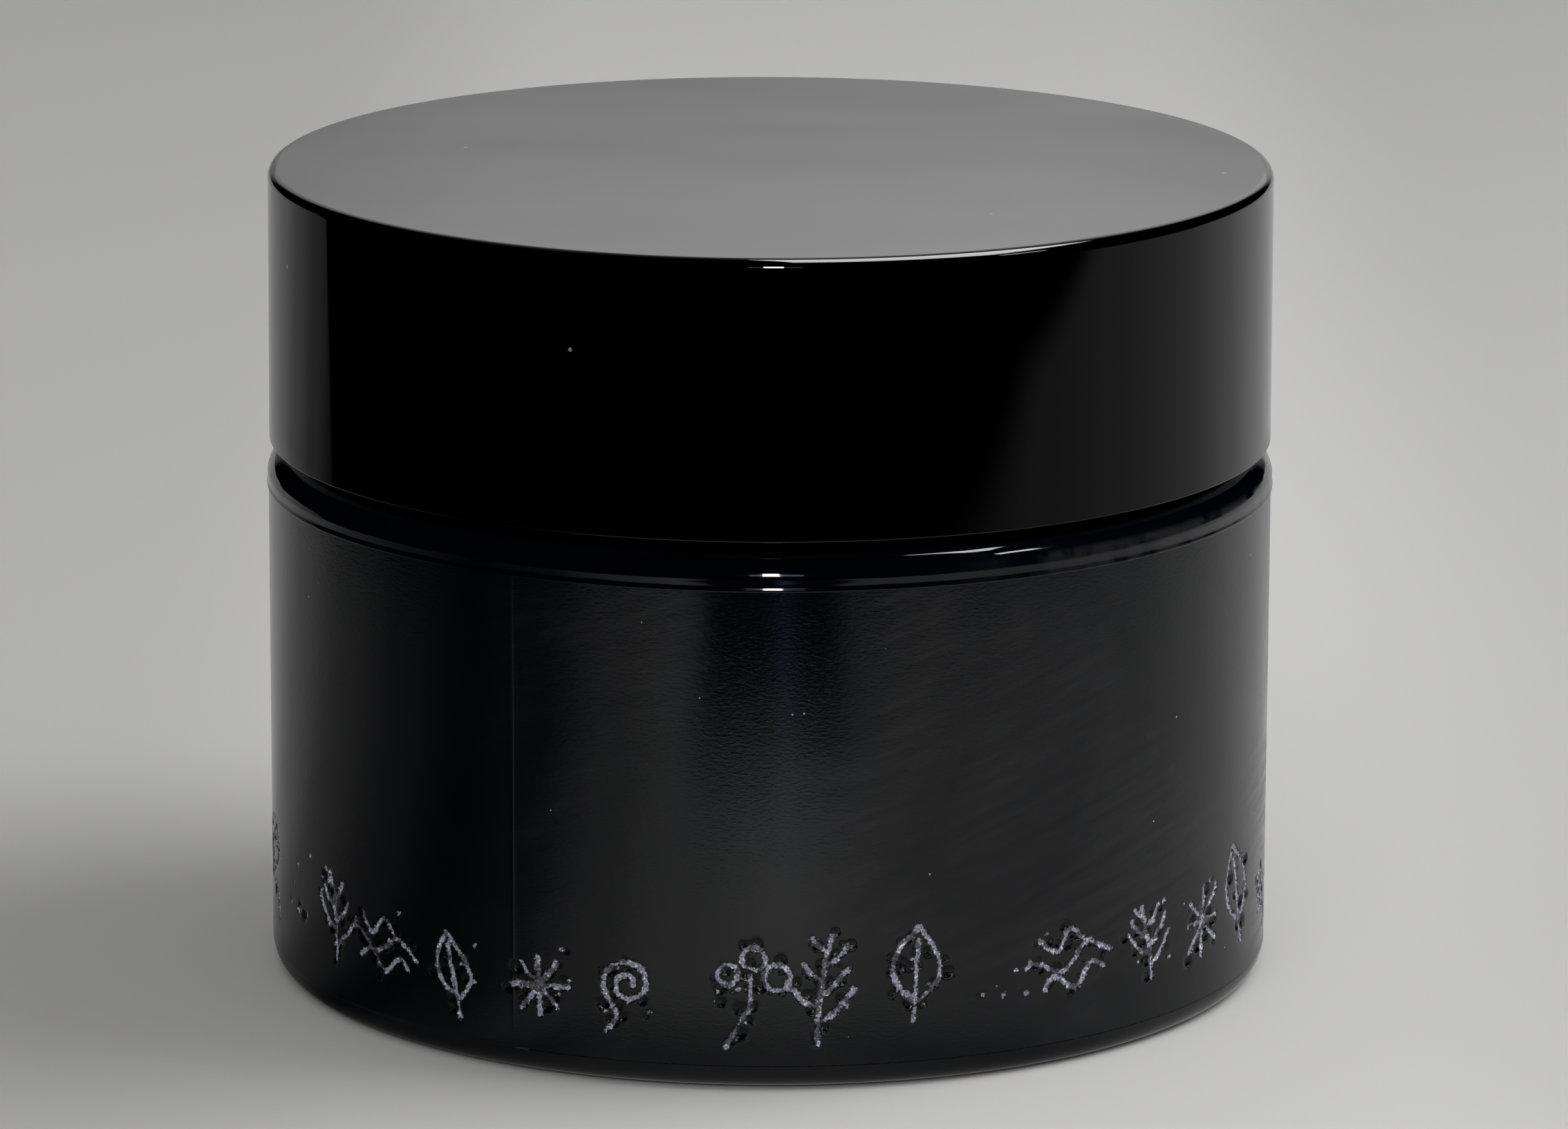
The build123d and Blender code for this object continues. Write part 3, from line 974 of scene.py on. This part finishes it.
def lay_floor(settings):
    """A wide pale floor; the gloss mirrors the light card instead of it."""
    finish = Finish("pale_floor", settings.floor_colour, 0.9)
    # Painted shade: the floor colour darkens away from a line just right of the jar, under a faint random tone.
    across = finish.math("ABSOLUTE", finish.total(finish.split(finish.where)[0], -8 * MM))
    shade = finish.product(finish.ramp(finish.noise(3.0, detail=2), 0.3, 0.7, 0.98, 1.02),
                           finish.ramp(across, 26 * MM, 54 * MM, 1.0, 0.84))
    colour = finish.add("ShaderNodeVectorMath", {0: tuple(settings.floor_colour), "Scale": shade},
                        operation="SCALE")
    finish.wear(**{"Base Color": colour, "Specular IOR Level": 0.0})
    floor = flat_sheet("floor", finish.material, -0.01 * MM)
    floor.visible_glossy = False


def flat_sheet(name, material, height):
    bm = bmesh.new()
    bmesh.ops.create_grid(bm, x_segments=1, y_segments=1, size=3.0)
    mesh = bpy.data.meshes.new(name)
    bm.to_mesh(mesh)
    bm.free()
    mesh.materials.append(material)
    sheet = bpy.data.objects.new(name, mesh)
    sheet.location.z = height
    bpy.context.scene.collection.objects.link(sheet)
    return sheet


def lay_light_card():
    """A card on the floor that only reflections see: pale paper with dark edges and a soft shadow."""
    material = bpy.data.materials.new("light_card")
    material.use_nodes = True
    nodes = Nodes(material.node_tree)
    nodes.tree.nodes.clear()
    bright, tint = card_light(nodes)
    glow = nodes.add("ShaderNodeEmission", {"Color": tint, "Strength": bright})
    output = nodes.tree.nodes.new("ShaderNodeOutputMaterial")
    nodes.tree.links.new(glow, output.inputs["Surface"])
    card = flat_sheet("light_card", material, 0.0)
    card.visible_camera = card.visible_diffuse = card.visible_shadow = card.visible_transmission = False


def card_light(nodes):
    """Brightness and tint of the light card, from millimetres on the floor."""
    place = nodes.tree.nodes.new("ShaderNodeTexCoord").outputs["Object"]
    x, y, _ = (nodes.product(part, 1 / MM) for part in nodes.split(place))
    ahead = nodes.product(y, -1.0)
    reach = nodes.math("SQRT", nodes.total(nodes.product(x, x), nodes.product(y, y)))
    turn = nodes.product(nodes.math("ARCTAN2", x, ahead), 180 / math.pi)
    on_right = nodes.math("GREATER_THAN", x, 0.0)

    left_edge = nodes.ramp(nodes.total(y, nodes.product(x, 0.68), 52.5), 0.0, 6.0)
    front_gap = nodes.total(y, 127.0)
    side_gap = nodes.total(y, nodes.product(x, -0.62), 248.0)
    right_edge = nodes.ramp(nodes.math("MINIMUM", front_gap, side_gap), -18.0, 20.0)
    far = nodes.product(nodes.stops(turn, FAR_LIGHT), nodes.blend_value(on_right, left_edge, right_edge))
    foot_shade = nodes.product(nodes.ramp(reach, 34.0, 56.0, 1.0, 0.0), nodes.ramp(x, 8.0, 36.0, 1.0, 0.0),
                               nodes.ramp(x, -28.0, -16.0))
    near = nodes.product(nodes.stops(turn, NEAR_LIGHT), nodes.ramp(foot_shade, 0.0, 1.0, 1.0, 0.2))
    bright = nodes.blend_value(nodes.ramp(reach, *NEAR_REACH), near, far)

    patch = nodes.product(nodes.ramp(nodes.math("ABSOLUTE", nodes.total(x, -1.0)), 26.0, 42.0, 1.0, 0.0),
                          nodes.ramp(ahead, 100.0, 114.0))
    bright = nodes.product(bright, nodes.ramp(patch, 0.0, 1.0, 1.0, 0.04))
    glare = nodes.product(nodes.hump(x, 3.0, 17.0), nodes.ramp(ahead, 50.0, 100.0, 0.45, 1.0),
                          nodes.ramp(ahead, 100.0, 112.0, 1.0, 0.0))
    streak = nodes.product(nodes.hump(x, 7.0, 3.5), nodes.ramp(ahead, 98.0, 112.0),
                           nodes.ramp(ahead, 148.0, 162.0, 1.0, 0.0))
    bright = nodes.total(bright, nodes.product(glare, 0.36), nodes.product(streak, 0.30))
    tint = nodes.tree.nodes.new("ShaderNodeMix")
    tint.data_type = "RGBA"
    nodes.set(tint, {0: patch, 6: (1, 1, 1, 1), 7: (0.45, 0.85, 1.4, 1)})
    return bright, tint.outputs[2]


def add_light(name, azimuth, elevation, distance, size, power, seen_by, colour=(1, 1, 1)):
    """An area light that faces the jar; azimuth 0 is the camera's side and 90 the right."""
    a, e = math.radians(azimuth), math.radians(elevation)
    data = bpy.data.lights.new(name, "AREA")
    data.shape = "RECTANGLE"
    data.size, data.size_y = size
    data.energy = power
    data.color = colour
    lamp = bpy.data.objects.new(name, data)
    away = Vector((math.sin(a) * math.cos(e), -math.cos(a) * math.cos(e), math.sin(e)))
    lamp.location = Vector((0, 0, GLASS_HIGH.z / 2)) + away * distance
    lamp.rotation_euler = away.to_track_quat("Z", "Y").to_euler()
    lamp.visible_glossy = seen_by != "matt"
    lamp.visible_diffuse = seen_by != "gloss"
    bpy.context.scene.collection.objects.link(lamp)


def place_camera(settings):
    """A long lens a little above the lid."""
    data = bpy.data.cameras.new("camera")
    data.lens = settings.lens
    data.sensor_width = 36.0
    data.clip_start = 0.01
    camera = bpy.data.objects.new("camera", data)
    tilt, yaw, roll = (math.radians(d) for d in (13.217, -0.0997, 0.2034))
    turn = Matrix.Rotation(yaw, 4, "Z") @ Matrix.Rotation(math.pi / 2 - tilt, 4, "X") @ Matrix.Rotation(roll, 4, "Z")
    camera.matrix_world = Matrix.Translation((0, -0.505565, 0.143032)) @ turn
    bpy.context.scene.collection.objects.link(camera)
    bpy.context.scene.camera = camera


def light_room(settings):
    """The world: an even fill, and for the gloss a dark room with pale paper rising behind."""
    world = bpy.data.worlds.new("room")
    bpy.context.scene.world = world
    world.use_nodes = True
    nodes = Nodes(world.node_tree)
    nodes.tree.nodes.clear()
    x, y, z = nodes.split(nodes.tree.nodes.new("ShaderNodeTexCoord").outputs["Generated"])
    rise = nodes.product(nodes.math("ARCSINE", z), 180 / math.pi)
    aside = nodes.math("ABSOLUTE", x)
    paper = nodes.product(nodes.stops(rise, SKY_LIGHT), nodes.ramp(y, 0.1, 0.7),
                          nodes.ramp(nodes.total(nodes.product(x, 1.5), 1.0), 0.7, 1.3, 0.7, 1.3),
                          nodes.ramp(aside, 0.03, 0.062, 1.0, 0.88), nodes.ramp(aside, 0.24, 0.42, 1.0, 0.0),
                          nodes.ramp(rise, -8.0, -4.0))
    path = nodes.tree.nodes.new("ShaderNodeLightPath")
    shade = nodes.blend_value(path.outputs["Is Glossy Ray"], settings.fill_strength, paper)
    light = nodes.add("ShaderNodeBackground", {"Color": (1, 1, 1, 1), "Strength": shade})
    output = nodes.tree.nodes.new("ShaderNodeOutputWorld")
    nodes.tree.links.new(light, output.inputs["Surface"])


class CREAMJAR_OT_studio(bpy.types.Operator):
    """Lays the floor and sets the lights, the surroundings and the camera"""

    bl_idname = "cream_jar.studio"
    bl_label = "Studio"

    def execute(self, context):
        settings = context.scene.cream_jar.studio
        place_camera(settings)
        lay_floor(settings)
        lay_light_card()
        light_room(settings)
        cool = (0.65, 0.82, 1.0)
        add_light("key", 97, 44, 0.66, (0.45, 0.45), settings.key_power, seen_by="matt")
        add_light("front_fill", -12, 34, 0.8, (0.30, 0.30), 0.7, seen_by="matt")
        add_light("lamp", 0.8, 18.8, 1.2, (0.09, 0.26), 2.4, seen_by="gloss")
        add_light("lamp_glow", 1.2, 17.0, 1.25, (0.26, 0.10), 0.16, seen_by="gloss", colour=cool)
        add_light("strip", 67, 40, 0.9, (0.16, 0.05), 0.30, seen_by="gloss")
        add_light("overhead", 98, 72.5, 0.83, (0.58, 0.50), 10.0, seen_by="gloss")
        add_light("pool", 92, 54, 0.30, (0.20, 0.20), 0.26, seen_by="matt")
        context.scene.view_settings.view_transform = "Standard"
        return {"FINISHED"}


# ---------------------------------------------------------------- panel

STEPS = ("studio", "glass", "overshell", "inner_cap", "liner", "disc")


class CREAMJAR_PT_panel(bpy.types.Panel):
    """Sizes, colours and build steps"""

    bl_label = "Cream Jar"
    bl_idname = "CREAMJAR_PT_panel"
    bl_space_type = "VIEW_3D"
    bl_region_type = "UI"
    bl_category = "Cream Jar"

    def draw(self, context):
        chosen = context.scene.cream_jar
        for group in (chosen.glass, chosen.engraving, chosen.lid, chosen.studio):
            box = self.layout.box()
            for name in group.bl_rna.properties.keys():
                if name not in ("rna_type", "name"):
                    box.prop(group, name)
        for step in STEPS:
            self.layout.operator(f"cream_jar.{step}")


CLASSES = (JarGlassSettings, EngravingSettings, LidSettings, StudioSettings, CreamJarSettings,
           CREAMJAR_OT_studio, CREAMJAR_OT_glass, CREAMJAR_OT_overshell, CREAMJAR_OT_inner_cap,
           CREAMJAR_OT_liner, CREAMJAR_OT_disc, CREAMJAR_PT_panel)


def register():
    for cls in CLASSES:
        bpy.utils.register_class(cls)
    bpy.types.Scene.cream_jar = PointerProperty(type=CreamJarSettings)


def unregister():
    del bpy.types.Scene.cream_jar
    for cls in reversed(CLASSES):
        bpy.utils.unregister_class(cls)


def main():
    register()
    for step in STEPS:
        getattr(bpy.ops.cream_jar, step)()


if __name__ == "__main__":
    main()
